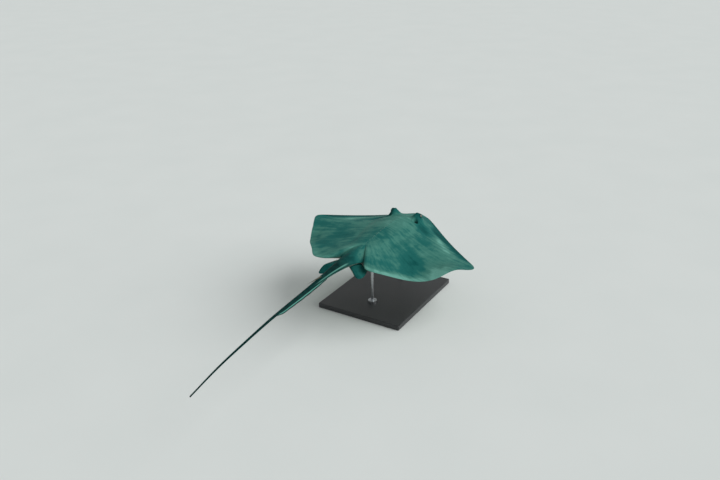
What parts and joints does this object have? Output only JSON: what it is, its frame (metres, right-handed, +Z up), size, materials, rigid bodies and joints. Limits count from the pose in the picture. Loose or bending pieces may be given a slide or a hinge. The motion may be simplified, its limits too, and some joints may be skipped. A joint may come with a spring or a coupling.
{
  "type": "stingray",
  "caption": "Life-size still model of a southern stingray swimming with one wing raised, its whip tail straight behind, held over a flat base by short upright rods.",
  "frame": {"origin": "centre of the underside of the stand's base, on the floor", "axes": "+Z up; the nose points towards -Y and the tail towards +Y; the ray's left wing is on +X"},
  "size_m": [0.8805, 1.7307, 0.3791],
  "materials": {
    "skin_back": "cast model skin, damp-looking grey-green with soft mottling, pale below",
    "skin_dark": "cast model skin, dark slate green",
    "sting_dentine": "satin bone colour",
    "eye": "polished dark glass-eye gloss",
    "stand_paint": "satin black paint",
    "stand_steel": "brushed steel"
  },
  "bodies": {
    "root": {"head": "skin_back", "trunk": "skin_back", "wing_left": "skin_back", "wing_right": "skin_back", "pelvic_fin_left": "skin_dark", "pelvic_fin_right": "skin_dark", "tail_base": "skin_back", "tail_mid": "skin_dark", "tail_whip": "skin_dark", "tail_finfold": "skin_dark", "sting": "sting_dentine", "eye_left": "eye", "eye_right": "eye", "stand_base": "stand_paint", "stand_rod_front": "stand_steel", "stand_rod_rear": "stand_steel"}
  },
  "joints": []
}
